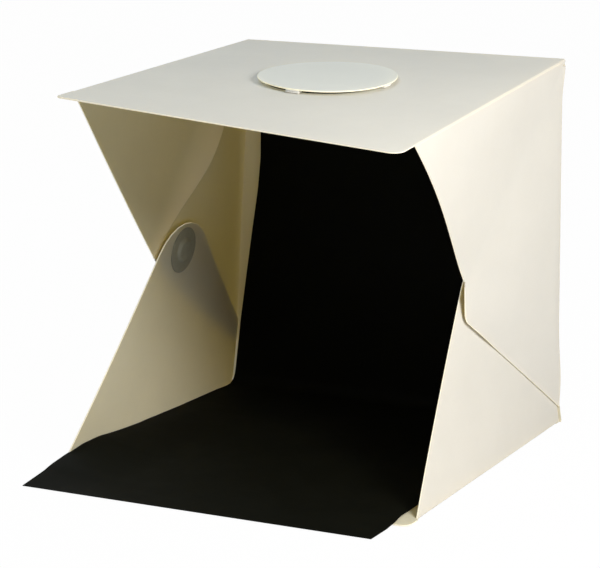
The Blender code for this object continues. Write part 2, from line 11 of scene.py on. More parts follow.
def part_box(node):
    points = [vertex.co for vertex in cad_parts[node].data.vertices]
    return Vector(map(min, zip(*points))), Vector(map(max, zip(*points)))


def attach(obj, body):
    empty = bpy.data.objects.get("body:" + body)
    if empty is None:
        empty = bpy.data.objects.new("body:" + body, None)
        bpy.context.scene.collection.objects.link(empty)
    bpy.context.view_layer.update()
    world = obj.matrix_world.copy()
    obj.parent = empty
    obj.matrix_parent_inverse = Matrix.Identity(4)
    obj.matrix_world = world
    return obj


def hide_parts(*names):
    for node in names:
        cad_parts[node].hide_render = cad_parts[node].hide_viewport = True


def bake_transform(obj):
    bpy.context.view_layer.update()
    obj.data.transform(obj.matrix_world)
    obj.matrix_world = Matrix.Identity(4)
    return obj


# Folding light tent of thin cream sheet. Lengths in the dictionaries are millimetres
# unless a name says otherwise; mm turns them into metres.

mm = 0.001
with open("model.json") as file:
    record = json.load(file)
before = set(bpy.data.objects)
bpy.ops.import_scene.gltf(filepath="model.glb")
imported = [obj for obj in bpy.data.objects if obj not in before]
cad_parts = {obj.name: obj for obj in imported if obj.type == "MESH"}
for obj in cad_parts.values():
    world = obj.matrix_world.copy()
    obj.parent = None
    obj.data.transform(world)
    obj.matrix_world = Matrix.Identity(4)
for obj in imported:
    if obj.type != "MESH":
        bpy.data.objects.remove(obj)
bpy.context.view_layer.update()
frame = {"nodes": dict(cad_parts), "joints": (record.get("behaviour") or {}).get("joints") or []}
print("frame loaded,", len(frame["nodes"]), "nodes")


def metres(x, y, z):
    return x * mm, y * mm, z * mm


def addObject(name, data):
    made = bpy.data.objects.new(name, data)
    bpy.context.scene.collection.objects.link(made)
    return made


# Camera, from the photograph's viewing angle

# Angles in degrees
view = {"azimuth": 28.059, "elevation": 15.199, "roll": -0.914, "focalPixels": 4193.1, "imageWidth": 600,
        "sensorWidth": 36.0, "clip": (0.05, 100.0), "place": (1178.2, -2239.3, 797.7)}


def addCamera():
    a, e, r = (math.radians(view[k]) for k in ("azimuth", "elevation", "roll"))
    back = Vector((math.sin(a) * math.cos(e), -math.cos(a) * math.cos(e), math.sin(e)))
    right = Vector((math.cos(a), math.sin(a), 0.0))
    up = back.cross(right)
    turnedRight = right * math.cos(r) + up * math.sin(r)
    turnedUp = up * math.cos(r) - right * math.sin(r)
    data = bpy.data.cameras.new("photoCamera")
    data.sensor_width = view["sensorWidth"]
    data.lens = data.sensor_width * view["focalPixels"] / view["imageWidth"]
    data.clip_start, data.clip_end = view["clip"]
    cam = addObject("photoCamera", data)
    turn = Matrix((turnedRight, turnedUp, back)).transposed().to_4x4()
    cam.matrix_world = Matrix.Translation(Vector(view["place"]) * mm) @ turn
    bpy.context.scene.camera = cam


addCamera()


# How the standing tent has settled

# Shift of each corner from the flat-sided model, x, y, z. The real sheet is a little
# racked: the top's front left corner stands high, its front right corner low.
settling = {
    "topFrontLeft": (-0.6, -0.2, 5.1), "topFrontRight": (1.8, -0.2, -8.1),
    "topRearLeft": (3.7, 0.8, -4.7), "topRearRight": (1.4, 1.1, 1.9),
    "footFrontLeft": (-7.4, 0, 0), "footFrontRight": (2.3, 0, 0),
    "footRearLeft": (0.2, 0, 0), "footRearRight": (-1.4, 0, 0),
    "waistLeft": (-0.3, 0, -6.0), "waistRight": (0.2, 0, 3.8),
    "width": 230, "front": -123, "depth": 235, "height": 240, "rear": 112,
    "wallTop": 115, "wallFoot": {"left": 127, "right": 115},
    "wallFrom": 85, "wallBlend": 15,      # where a side wall's own form starts
    "acrossLimits": (-0.15, 1.15), "depthLimits": (-0.1, 1.05), "heightLimits": (0.0, 1.1)}

# The top is bulged up at its front, and the right upper wall bows out, most at its front
bulges = {"top": 2.4, "right": 3.4, "from": 120, "front": -102, "rear": 60}

# The floor panel's right edge lifts, apart from the lip in front of the flaps
floorCurl = {"front": 1.6, "rear": 3.6, "from": 55, "width": 55, "lipFront": -112, "lip": 10}

# The right wall bends softly at its sloping crease
softCrease = {"lean": 0.117, "round": 26, "fromCorner": 25}

# The right rear flap's lower edge is pressed against the lower flap: the edge's height at
# the rear and its slope, how far it is pressed, and where along the flap that ends
pressing = {"height": 10, "slope": 0.732, "depth": 1.25, "width": 24, "end": 72, "fade": 28, "foot": 10}

# The left wall's sloping crease is pushed inward, most at its peak, down from the corner.
# The upper flap turns in sharply just before it, and the rear flap slants back from it.
creasePush = {"depth": 10.2, "peak": 62, "tail": 46, "width": 20, "sharpness": 1.6}

# The rear upright corners are soft folds, but not at their feet and tops
softCorner = {"left": 8, "right": 4, "foot": 15, "footFade": 50, "topFade": 30, "from": 4, "fade": 6}


def smoothStep(value):
    held = np.clip(value, 0.0, 1.0)
    return held * held * (3 - 2 * held)


def onWall(outward):
    # 1 on a side wall and 0 well inside the tent, by the distance from the middle
    return smoothStep((outward - settling["wallFrom"]) / settling["wallBlend"])


def edgeCurl(p):
    # How far the floor panel's right edge has lifted
    s, f = settling, floorCurl
    depth = np.clip((p[:, 1] - s["front"]) / s["depth"], 0, 1)
    low = (1 - np.clip(p[:, 2] / s["height"], 0, 1)) ** 2
    low *= smoothStep((p[:, 1] - f["lipFront"]) / f["lip"])
    lift = f["front"] * (1 - depth) + f["rear"] * depth
    return lift * smoothStep((p[:, 0] - f["from"]) / f["width"]) * low


def rackShift(p, waistShare):
    # The shift that the corners and the waist give every point
    s = settling
    a = np.clip(p[:, 0] / s["width"] + 0.5, *s["acrossLimits"])[:, None]
    b = np.clip((p[:, 1] - s["front"]) / s["depth"], *s["depthLimits"])[:, None]
    c = np.clip(p[:, 2] / s["height"], *s["heightLimits"])[:, None]
    shift = np.zeros_like(p)
    for depthName, depthShare in (("Front", 1 - b), ("Rear", b)):
        for sideName, sideShare in (("Left", 1 - a), ("Right", a)):
            top = np.array(s["top" + depthName + sideName])
            foot = np.array(s["foot" + depthName + sideName])
            shift += sideShare * depthShare * (c ** 2 * top + (1 - c) ** 2 * foot)
    waist = (1 - a) * np.array(s["waistLeft"]) + a * np.array(s["waistRight"])
    shift += waistShare * 4 * c * (1 - c) * waist
    inX, inY, high = np.clip(a[:, 0], 0, 1), np.clip(b[:, 0], 0, 1), c[:, 0] ** 4
    shift[:, 2] += bulges["top"] * np.sin(math.pi * inX) * np.sin(math.pi * inY) * (1 - inY) * high
    return shift


def rightWallShift(p, reach, drop):
    # How far the right wall's flaps lean out from crease and pressed edge
    across = reach - drop
    rounding = np.sqrt(across ** 2 + softCrease["round"] ** 2) - np.abs(across)
    ends = smoothStep(reach / softCrease["fromCorner"]) * smoothStep(drop / softCrease["fromCorner"])
    above = p[:, 2] - pressing["height"] - pressing["slope"] * reach
    press = 1 - smoothStep(above / pressing["width"])
    press *= 1 - smoothStep((reach - pressing["end"]) / pressing["fade"])
    press *= smoothStep(p[:, 2] / pressing["foot"])
    return (softCrease["lean"] / 2 * rounding * ends - pressing["depth"] * press) * onWall(p[:, 0])


def leftWallShift(p, reach, drop):
    # How far the left wall is pushed in at its sloping crease
    c = creasePush
    across, along = reach - drop, (reach + drop) / 2
    push = c["depth"] * smoothStep(along / c["peak"]) * (1 - smoothStep((along - c["peak"]) / c["tail"]))
    upperSide = np.clip(1 - across / math.sqrt(2) / c["width"], 0, 1) ** c["sharpness"]
    rearSide = np.clip(reach / np.maximum(along, 1), 0, 1)
    return push * np.where(across > 0, upperSide, rearSide) * onWall(-p[:, 0])


def cornerShift(p, reach, drop, side, sign):
    # How far a soft rear corner lies inside the sharp one
    c, s = softCorner, settling
    slant = (s["wallFoot"][side] - s["wallTop"]) * (1 - p[:, 2] / s["height"])
    fromWall = s["wallTop"] + slant - sign * p[:, 0]
    spread = reach - fromWall
    inward = (np.sqrt(spread ** 2 + c[side] ** 2) - np.abs(spread)) / 2
    inward *= smoothStep((p[:, 2] - c["foot"]) / c["footFade"]) * smoothStep(drop / c["topFade"])
    return inward * (1 - smoothStep((np.minimum(reach, fromWall) - c["from"]) / c["fade"]))


def settle(points, waistShare=1.0):
    # Moves points of the flat-sided model to where the settled sheet has them. The lower
    # flaps stand on the floor and take no share of the waist's drop.
    s = settling
    p = np.asarray(points, float) / mm
    shift = rackShift(p, waistShare)
    shift[:, 2] += edgeCurl(p)
    rise = np.clip((p[:, 2] - bulges["from"]) / (s["height"] - bulges["from"]), 0, 1)
    depth = 1 - smoothStep((p[:, 1] - bulges["front"]) / (bulges["rear"] - bulges["front"]))
    shift[:, 0] += bulges["right"] * np.sin(math.pi * rise) * depth * onWall(p[:, 0])
    if waistShare:
        reach, drop = s["rear"] - p[:, 1], s["height"] - p[:, 2]
        shift[:, 0] += rightWallShift(p, reach, drop) + leftWallShift(p, reach, drop)
        for side, sign in (("left", -1), ("right", 1)):
            inward = cornerShift(p, reach, drop, side, sign)
            shift[:, 0] -= sign * inward
            shift[:, 1] -= inward
    return (p + shift) * mm


def settledPlace(point, axisX, axisZ, waistShare=1.0):
    # A rigid place on the settled sheet, for small hard pieces
    x, z = Vector(axisX).normalized(), Vector(axisZ).normalized()
    p = np.array(point, float)
    step = 2 * mm
    moved = settle(np.array([p, p + np.array(x) * step, p + np.array(z.cross(x)) * step]), waistShare)
    newX = Vector(moved[1] - moved[0]).normalized()
    newZ = newX.cross(Vector(moved[2] - moved[0])).normalized()
    turn = Matrix((newX, newZ.cross(newX), newZ)).transposed().to_4x4()
    return Matrix.Translation(Vector(moved[0])) @ turn


# Materials

def newMaterial(name):
    made = bpy.data.materials.new(name)
    made.use_nodes = True
    nodes = made.node_tree.nodes
    coords = nodes.new("ShaderNodeTexCoord").outputs["Object"]
    return made, nodes, made.node_tree.links, nodes["Principled BSDF"], coords


def setInputs(links, node, values):
    # Keys are names or numbers of inputs. A value that is a socket is linked.
    for key, value in values.items():
        if isinstance(value, bpy.types.NodeSocket):
            links.new(value, node.inputs[key])
        else:
            node.inputs[key].default_value = value


def noiseAt(nodes, links, coords, scale, detail=4, roughness=0.6, stretch=None):
    if stretch:
        mapping = nodes.new("ShaderNodeMapping")
        setInputs(links, mapping, {"Vector": coords, "Scale": stretch})
        coords = mapping.outputs["Vector"]
    noise = nodes.new("ShaderNodeTexNoise")
    setInputs(links, noise, {"Vector": coords, "Scale": scale, "Detail": detail, "Roughness": roughness})
    return noise.outputs["Fac"]


def ramp(nodes, links, value, stops):
    # stops are two places, each with its colour
    made = nodes.new("ShaderNodeValToRGB")
    for element, (place, colour) in zip(made.color_ramp.elements, stops):
        element.position, element.color = place, (*colour, 1)
    links.new(value, made.inputs["Fac"])
    return made.outputs["Color"]


def toRange(nodes, links, value, low, high, fromLow=0.0, fromHigh=1.0):
    made = nodes.new("ShaderNodeMapRange")
    setInputs(links, made, {"Value": value, "From Min": fromLow, "From Max": fromHigh,
                            "To Min": low, "To Max": high})
    return made.outputs["Result"]


def bumpFrom(nodes, links, height, distance, strength=0.3, under=None):
    made = nodes.new("ShaderNodeBump")
    setInputs(links, made, {"Height": height, "Strength": strength, "Distance": distance})
    if under:
        links.new(under, made.inputs["Normal"])
    return made.outputs["Normal"]


def mixColour(nodes, links, share, first, second, blend="MIX"):
    made = nodes.new("ShaderNodeMix")
    made.data_type, made.blend_type = "RGBA", blend
    setInputs(links, made, {"Factor": share, 6: first, 7: second})
    return made.outputs[2]


def mathStep(nodes, links, operation, first, second):
    made = nodes.new("ShaderNodeMath")
    made.operation = operation
    setInputs(links, made, {0: first, 1: second})
    return made.outputs[0]


def mixShaders(nodes, links, share, first, second, output="Material Output"):
    mix = nodes.new("ShaderNodeMixShader")
    setInputs(links, mix, {"Fac": share, 1: first.outputs[0], 2: second.outputs[0]})
    links.new(mix.outputs["Shader"], nodes[output].inputs["Surface"])


# The noise values between which a colour changes
noiseSpan = (0.3, 0.7)

# Two tones for each face of the cream sheet and for its cut edge, and what they let through. The inner face's
# tones are darker and warmer than the outer face's: painted shade for the dim, warm inside of the tent. The cut
# edge's tones are painted bright, and the edge glow is a painted glow on it.
sheetFinish = {
    "outer": ((0.78, 0.79, 0.79), (0.82, 0.83, 0.83)),
    "inner": ((0.71, 0.72, 0.635), (0.76, 0.77, 0.685)),
    "edge": ((0.90, 0.88, 0.80), (0.95, 0.93, 0.86)),
    "through": (0.86, 0.68, 0.10), "throughShare": 0.27,
    "coverThrough": (0.94, 0.92, 0.78), "coverShare": 0.33,
    "edgeShare": 0.3, "paintedEdgeGlow": 0.42, "cloudSize": 45, "cloudDepth": 0.3,
    "grainSize": 0.35, "grainDepth": 0.02, "grainStrength": 0.25, "speckle": (0.965, 1.03),
    "scuffSize": 6, "scuffStretch": (1, 1, 0.35), "scuffSpan": (0.35, 0.65), "roughness": (0.40, 0.52),
    "shine": 0.4, "wearAndLightShare": 0.9}


def sheetMaterial(name, tones, throughShare, paintedGlow=0.0, through=sheetFinish["through"]):
    f = sheetFinish
    made, nodes, links, shader, coords = newMaterial(name)
    clouds = noiseAt(nodes, links, coords, 1 / (f["cloudSize"] * mm))
    grain = noiseAt(nodes, links, coords, 1 / (f["grainSize"] * mm), 3)
    scuffs = noiseAt(nodes, links, coords, 1 / (f["scuffSize"] * mm), 5, 0.7, f["scuffStretch"])
    # Crease wear, and the painted light band by the left upper flap's sloping crease, both blended towards the
    # bright edge tone
    wearAndLightBands = nodes.new("ShaderNodeAttribute")
    wearAndLightBands.attribute_name = "creaseWearAndPaintedLight"
    colour = ramp(nodes, links, clouds, zip(noiseSpan, tones))
    speckle = toRange(nodes, links, grain, *f["speckle"], *noiseSpan)
    colour = mixColour(nodes, links, 1.0, colour, speckle, "MULTIPLY")
    wearAndLightShare = toRange(nodes, links, wearAndLightBands.outputs["Fac"], 0.0, f["wearAndLightShare"])
    fine = bumpFrom(nodes, links, grain, f["grainDepth"] * mm, f["grainStrength"])
    # The emission is a painted glow, which only the cut edge gets
    setInputs(links, shader, {
        "Base Color": mixColour(nodes, links, wearAndLightShare, colour, (*f["edge"][0], 1)),
        "Roughness": toRange(nodes, links, scuffs, *f["roughness"], *f["scuffSpan"]),
        "Normal": bumpFrom(nodes, links, clouds, f["cloudDepth"] * mm, under=fine),
        "Specular IOR Level": f["shine"], "Emission Color": (*tones[0], 1), "Emission Strength": paintedGlow})
    passing = nodes.new("ShaderNodeBsdfTranslucent")
    setInputs(links, passing, {"Color": (*through, 1)})
    mixShaders(nodes, links, throughShare, shader, passing)
    return made


outerSheet = sheetMaterial("creamSheetOuter", sheetFinish["outer"], sheetFinish["throughShare"])
# The inner face is the same sheet in darker, warmer tones: painted shade for the tent's dim inside
shadedInnerSheet = sheetMaterial("creamSheetInnerPaintedShade", sheetFinish["inner"], sheetFinish["throughShare"])
# The cut edge is painted brighter than the faces and given a painted glow, standing in for light that comes
# through the sheet
glowingCutEdge = sheetMaterial("creamSheetCutEdgePaintedGlow", sheetFinish["edge"], sheetFinish["edgeShare"],
                        sheetFinish["paintedEdgeGlow"])
coverSheet = sheetMaterial("creamCover", sheetFinish["outer"], sheetFinish["coverShare"], 0.0,
                           sheetFinish["coverThrough"])
sheetSet = (outerSheet, shadedInnerSheet, glowingCutEdge)
coverSet = (coverSheet, coverSheet, glowingCutEdge)


hard = {}


def hardMaterial(name, tones, roughness, metallic=0.0, grainSize=0.4, depth=0.02, spotSize=3.0, coat=0.0,
                 shine=0.5):
    # Two tones in soft spots, fine grain, and a roughness that varies a little. Sizes are in millimetres.
    made, nodes, links, shader, coords = newMaterial(name)
    spots = noiseAt(nodes, links, coords, 1 / (spotSize * mm))
    grain = noiseAt(nodes, links, coords, 1 / (grainSize * mm), 3)
    setInputs(links, shader, {
        "Base Color": ramp(nodes, links, spots, zip(noiseSpan, tones)),
        "Roughness": toRange(nodes, links, spots, *roughness, *noiseSpan),
        "Normal": bumpFrom(nodes, links, grain, depth * mm),
        "Metallic": metallic, "Coat Weight": coat, "Specular IOR Level": shine})
    hard[name] = made


hardMaterial("blackBackdropSheet", ((0.0018, 0.0020, 0.0009), (0.0026, 0.0028, 0.0014)), (0.66, 0.78),
             grainSize=0.5, depth=0.03, spotSize=30, shine=0.05)
hardMaterial("magnetPlating", ((0.44, 0.45, 0.47), (0.55, 0.55, 0.57)), (0.22, 0.34),
             metallic=1.0, grainSize=0.2, depth=0.01)
hardMaterial("patchFilm", ((0.31, 0.31, 0.25), (0.37, 0.37, 0.31)), (0.50, 0.62),
             grainSize=0.6, depth=0.03, spotSize=5, shine=0.35)
hardMaterial("hookPadWhite", ((0.70, 0.69, 0.66), (0.88, 0.87, 0.84)), (0.85, 0.95),
             grainSize=0.5, depth=0.25, spotSize=0.6)
hardMaterial("loopPadBlack", ((0.010, 0.010, 0.010), (0.024, 0.024, 0.023)), (0.85, 0.95),
             grainSize=0.5, depth=0.25, spotSize=0.6)
hardMaterial("foamTape", ((0.62, 0.62, 0.58), (0.72, 0.72, 0.68)), (0.70, 0.85),
             grainSize=0.3, depth=0.15, spotSize=0.8)
hardMaterial("boardLacquer", ((0.74, 0.75, 0.72), (0.80, 0.81, 0.79)), (0.30, 0.38),
             grainSize=0.5, depth=0.01, spotSize=6, coat=0.3)
hardMaterial("lampHousing", ((0.80, 0.79, 0.74), (0.85, 0.84, 0.80)), (0.30, 0.40),
             grainSize=0.3, depth=0.005)
hardMaterial("lampGel", ((0.82, 0.58, 0.10), (0.90, 0.68, 0.16)), (0.18, 0.26),
             grainSize=0.2, depth=0.01, spotSize=1, coat=0.5)
hardMaterial("resistorBlack", ((0.015, 0.015, 0.016), (0.028, 0.028, 0.030)), (0.30, 0.42))
hardMaterial("solder", ((0.55, 0.55, 0.56), (0.70, 0.70, 0.71)), (0.20, 0.38),
             metallic=1.0, grainSize=0.3, spotSize=1)
hardMaterial("socketSteel", ((0.55, 0.55, 0.56), (0.66, 0.66, 0.67)), (0.22, 0.32),
             metallic=1.0, grainSize=0.2, depth=0.01, spotSize=1)
hardMaterial("tongueBlack", ((0.012, 0.012, 0.013), (0.022, 0.022, 0.023)), (0.40, 0.55))

# Two conductors along the lamp board, as shares of its width
traces = {"colour": (0.64, 0.63, 0.55), "offsetShare": 1 / 4, "halfWidthShare": 1 / 14}


def addTraces(made):
    # The conductors show through the board's white lacquer
    low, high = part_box("lamp_board")
    middle, width = (low.y + high.y) / 2, high.y - low.y
    nodes, links = made.node_tree.nodes, made.node_tree.links
    shader = nodes["Principled BSDF"]
    under = shader.inputs["Base Color"].links[0].from_socket
    axes = nodes.new("ShaderNodeSeparateXYZ")
    links.new(nodes.new("ShaderNodeTexCoord").outputs["Object"], axes.inputs["Vector"])
    value = axes.outputs["Y"]
    steps = (("SUBTRACT", middle), ("ABSOLUTE", 0.0), ("SUBTRACT", width * traces["offsetShare"]),
             ("ABSOLUTE", 0.0), ("LESS_THAN", width * traces["halfWidthShare"]))
    for operation, number in steps:
        value = mathStep(nodes, links, operation, value, number)
    links.new(mixColour(nodes, links, value, under, (*traces["colour"], 1)), shader.inputs["Base Color"])


addTraces(hard["boardLacquer"])
print("materials made")


# Thin sheets in mesh code

# edgeClear and smallestFace are shares of a mesh step and its square, mergeWithin is in metres,
# and wear above uncutShare marks the edges on an uncut line
sheetForm = {"thickness": 0.8, "cutBevel": 0.15, "squareBevel": 0.01, "meshStep": 5.0, "edgeClear": 0.55,
             "smallestFace": 1e-3, "mergeWithin": 1e-8, "foldInner": 0.3, "foldSteps": 7,
             "wearWidth": 4.0, "wearAndLightShare": 0.35, "uncutShare": 0.1, "sharpAngle": 35}


def insideRings(points, rings):
    # Even-odd test over all rings, so holes count
    inside = np.zeros(len(points), bool)
    for ring in rings:
        after = np.roll(ring, -1, axis=0)
        for (x0, y0), (x1, y1) in zip(ring, after):
            if y0 == y1:
                continue
            crossing = (y0 > points[:, 1]) != (y1 > points[:, 1])
            inside ^= crossing & (points[:, 0] < (x1 - x0) * (points[:, 1] - y0) / (y1 - y0) + x0)
    return inside


def splitRing(ring, step):
    # Adds points so that no stretch of the ring is longer than the step
    made = []
    for here, there in zip(ring, np.roll(ring, -1, axis=0)):
        count = max(1, int(np.ceil(np.linalg.norm(there - here) / step)))
        made += [here + (there - here) * i / count for i in range(count)]
    return np.array(made)


def fillRings(rings, step):
    # Triangles over a flat outline with holes, with a grid of points inside it
    rings = [splitRing(np.asarray(ring, float), step) for ring in rings]
    edge = np.vstack(rings)
    low, high = edge.min(0), edge.max(0)
    grid = np.array([(x, y) for x in np.arange(low[0] + step / 2, high[0], step)
                     for y in np.arange(low[1] + step / 2, high[1], step)])
    grid = grid[insideRings(grid, rings)]
    gaps = np.sqrt(((grid[:, None] - edge[None]) ** 2).sum(2)).min(1)
    points = np.vstack([edge, grid[gaps > sheetForm["edgeClear"] * step]])
    links, start = [], 0
    for ring in rings:
        links += [(start + i, start + (i + 1) % len(ring)) for i in range(len(ring))]
        start += len(ring)
    made = delaunay_2d_cdt([Vector(p) for p in points], links, [], 0, sheetForm["mergeWithin"])
    flat, faces = np.array(made[0]), np.array(made[2])
    faces = faces[insideRings(flat[faces].mean(1), rings)]
    armA, armB = flat[faces[:, 1]] - flat[faces[:, 0]], flat[faces[:, 2]] - flat[faces[:, 0]]
    doubled = armA[:, 0] * armB[:, 1] - armA[:, 1] * armB[:, 0]
    faces = faces[doubled > sheetForm["smallestFace"] * step ** 2]
    used = np.unique(faces)
    renumber = np.zeros(len(flat), int)
    renumber[used] = np.arange(len(used))
    return flat[used], renumber[faces]


def vertexNormals(points, faces):
    normals = np.zeros_like(points)
    for face in faces:
        corner = points[list(face)]
        across = np.cross(corner[1] - corner[0], corner[-1] - corner[0])
        for index in face:
            normals[index] += across
    return normals / np.linalg.norm(normals, axis=1)[:, None]


def thicken(points, faces, thickness, bevel, depthShare=0.0, uncut=()):
    # A closed sheet with softened cut edges: points, faces and the part each face is on,
    # 0 outer, 1 inner, 2 cut edge. depthShare 0 keeps the points on the outer face. The
    # edges on an uncut line stay square, because the sheet goes on there.
    normals = vertexNormals(points, faces)
    sides = {(a, b) for face in faces for a, b in zip(face, np.roll(face, -1))}
    rim = {a: b for a, b in sides if (b, a) not in sides}
    before = {b: a for a, b in rim.items()}
    outer = points + normals * thickness * depthShare
    inner = outer - normals * thickness
    rimTop, rimLow = {}, {}
    madePoints = [outer.copy(), inner.copy()]
    extra = []
    count = len(points)
    plain = shareNearLines(points, uncut) > sheetForm["uncutShare"]
    for here in sorted(rim):
        soft = sheetForm["squareBevel"] * mm if plain[here] else bevel
        along = points[rim[here]] - points[before[here]]
        out = np.cross(along, normals[here])
        out /= np.linalg.norm(out)
        madePoints[0][here] -= out * soft
        madePoints[1][here] -= out * soft
        rimTop[here], rimLow[here] = 2 * count + len(extra), 2 * count + len(extra) + 1
        extra += [outer[here] - normals[here] * soft, inner[here] + normals[here] * soft]
    madeFaces, parts = [], []
    for face in faces:
        face = [int(i) for i in face]
        madeFaces += [face, [i + count for i in reversed(face)]]
        parts += [0, 1]
    for a, b in rim.items():
        a, b = int(a), int(b)
        madeFaces += [[a, rimTop[a], rimTop[b], b], [rimTop[a], rimLow[a], rimLow[b], rimTop[b]],
                      [rimLow[a], a + count, b + count, rimLow[b]]]
        parts += [0, 1, 1] if plain[a] and plain[b] else [2, 2, 2]
    return np.vstack(madePoints + ([np.array(extra)] if extra else [])), madeFaces, parts


def foldStrip(start, end, fromNormal, toNormal):
    # The rounded fold between two sheets, swept along the crease's inner line
    f = sheetForm
    count = max(2, int(np.ceil(np.linalg.norm(np.subtract(end, start)) / (f["meshStep"] * mm))))
    small, large = f["foldInner"] * mm, (f["foldInner"] + f["thickness"]) * mm
    turn = Vector(fromNormal).rotation_difference(Vector(toNormal))
    shares = np.linspace(0, 1, f["foldSteps"])
    fan = [np.array(Matrix.Rotation(turn.angle * s, 3, turn.axis) @ Vector(fromNormal)) for s in shares]
    profile = [n * large for n in fan] + [n * small for n in reversed(fan)]
    size, steps = len(profile), f["foldSteps"]
    points = [np.asarray(start) + (np.subtract(end, start)) * i / count + p
              for i in range(count + 1) for p in profile]
    faces, parts = [], []
    for i in range(count):
        for k in range(size):
            a, b = i * size + k, i * size + (k + 1) % size
            faces.append([a, b, b + size, a + size])
            parts.append(0 if k < steps - 1 else 1)
    for base in (0, count * size):
        for k in range(steps - 1):
            faces.append([base + k, base + k + 1, base + size - 2 - k, base + size - 1 - k])
            parts.append(2)
    return np.array(points), faces, parts


def joinShells(shells):
    points, faces, parts, start = [], [], [], 0
    for shellPoints, shellFaces, shellParts in shells:
        points.append(shellPoints)
        faces += [[i + start for i in face] for face in shellFaces]
        parts += list(shellParts)
        start += len(shellPoints)
    return np.vstack(points), faces, parts


def addMesh(name, points, faces, parts, materials, sharp=sheetForm["sharpAngle"], wearAndLight=None, matrix=None):
    mesh = bpy.data.meshes.new(name)
    mesh.from_pydata([tuple(p) for p in points], [], faces)
    for material in materials:
        mesh.materials.append(material)
    mesh.polygons.foreach_set("material_index", parts)
    build = bmesh.new()
    build.from_mesh(mesh)
    bmesh.ops.recalc_face_normals(build, faces=build.faces)
    build.to_mesh(mesh)
    build.free()
    mesh.shade_smooth()
    mesh.set_sharp_from_angle(angle=math.radians(sharp))
    if wearAndLight is not None:
        mesh.attributes.new("creaseWearAndPaintedLight", "FLOAT", "POINT").data.foreach_set("value", wearAndLight)
    obj = addObject(name, mesh)
    if matrix is not None:
        obj.matrix_world = matrix
    return obj


def shareNearLines(points, creases):
    # Most on a crease, fading to 0 beside it. A crease is (start, end) or (start, end, width, strength)
    wearAndLight = np.zeros(len(points))
    for start, end, *more in creases:
        width, strength = more or (sheetForm["wearWidth"], sheetForm["wearAndLightShare"])
        start, end = np.asarray(start), np.asarray(end)
        along = end - start
        share = np.clip((points - start) @ along / (along @ along), 0, 1)
        gap = np.linalg.norm(points - start - share[:, None] * along, axis=1)
        wearAndLight = np.maximum(wearAndLight, strength * (1 - smoothStep(gap / (width * mm))))
    return wearAndLight


def addSheet(name, rings, origin, axisU, axisV, folds, creases=(), uncut=(), step=None, waistShare=1.0,
             materials=sheetSet):
    # A flat sheet with folds along some edges, then settled. rings are in metres along
    # axisU and axisV; the outer side faces axisU x axisV.
    flat, faces = fillRings(rings, (step or sheetForm["meshStep"]) * mm)
    u, v = np.array(axisU, float), np.array(axisV, float)
    points = np.array(origin) + flat[:, :1] * u + flat[:, 1:] * v
    shells = [thicken(points, faces, sheetForm["thickness"] * mm, sheetForm["cutBevel"] * mm, uncut=uncut)]
    shells += [foldStrip(*fold) for fold in folds]
    points, faces, parts = joinShells(shells)
    # Crease wear, plus the painted light band where one is listed among the creases
    wearAndLight = shareNearLines(points, [(fold[0], fold[1]) for fold in folds] + list(creases))
    return addMesh(name, settle(points, waistShare), faces, parts, materials, wearAndLight=wearAndLight)


def roundedRing(corners, steps=8):
    # Corners are (x, y) or (x, y, radius), in millimetres; gives metres
    ring = []
    for index, corner in enumerate(corners):
        here = Vector(corner[:2])
        if len(corner) < 3:
            ring.append(here * mm)
            continue
        before = (Vector(corners[index - 1][:2]) - here).normalized()
        after = (Vector(corners[(index + 1) % len(corners)][:2]) - here).normalized()
        half = before.angle(after) / 2
        centre = here + (before + after).normalized() * corner[2] / math.sin(half)
        start = here + before * corner[2] / math.tan(half) - centre
        end = here + after * corner[2] / math.tan(half) - centre
        for step in range(steps + 1):
            arm = start.lerp(end, step / steps).normalized() * corner[2]
            ring.append((centre + arm) * mm)
    return np.array([tuple(p) for p in ring])


def circleRing(x, y, radius, count=96):
    angles = [2 * math.pi * i / count for i in range(count)]
    return np.array([(x + radius * math.cos(a), y + radius * math.sin(a)) for a in angles]) * mm


# keyScale is per metre, facing is a cosine
outlineForm = {"keyScale": 1e6, "facing": 0.9}


def outlineOf(node, outward):
    # The ring round a CAD plate's outer face, as points in space, and the face's normal
    mesh = frame["nodes"][node].data
    numbers, places, lookup = {}, [], []
    for vertex in mesh.vertices:
        key = tuple(round(c * outlineForm["keyScale"]) for c in vertex.co)
        if key not in numbers:
            numbers[key] = len(places)
            places.append(np.array(vertex.co))
        lookup.append(numbers[key])
    sides, normal = set(), Vector((0, 0, 0))
    for face in mesh.polygons:
        if face.normal.dot(Vector(outward)) < outlineForm["facing"]:
            continue
        normal += face.normal * face.area
        corners = [lookup[i] for i in face.vertices]
        sides |= set(zip(corners, corners[1:] + corners[:1]))
    follow = {a: b for a, b in sides if (b, a) not in sides}
    ring, here = [], next(iter(sorted(follow)))
    first = here
    while not ring or here != first:
        ring.append(places[here])
        here = follow[here]
    return np.array(ring), normal.normalized()


# Top, back and bottom

panels = {"halfWidth": 115, "height": 240, "rear": 112, "topFront": -123, "bottomFront": -112,
          "flapFront": -102, "cornerRadius": 8, "leftCorner": 4, "footLeft": 127,
          "fold": 1.1, "notchGap": 0.3, "holeRadius": 38, "holeY": 5,
          "lowerLeft": 125.9, "lowerRight": 113.9, "lowerFront": -101.7, "lowerRear": 106,
          "rearHeel": {"left": 33, "right": 10}, "cornerReach": {"upper": 1.3, "rear": 0.7},
          "bendReach": 20, "topBendReach": 8}


def leftEdgeAt(height):
    # The back's left edge slants out towards the foot
    p = panels
    return p["halfWidth"] + (p["footLeft"] - p["halfWidth"]) * (1 - height / p["height"])


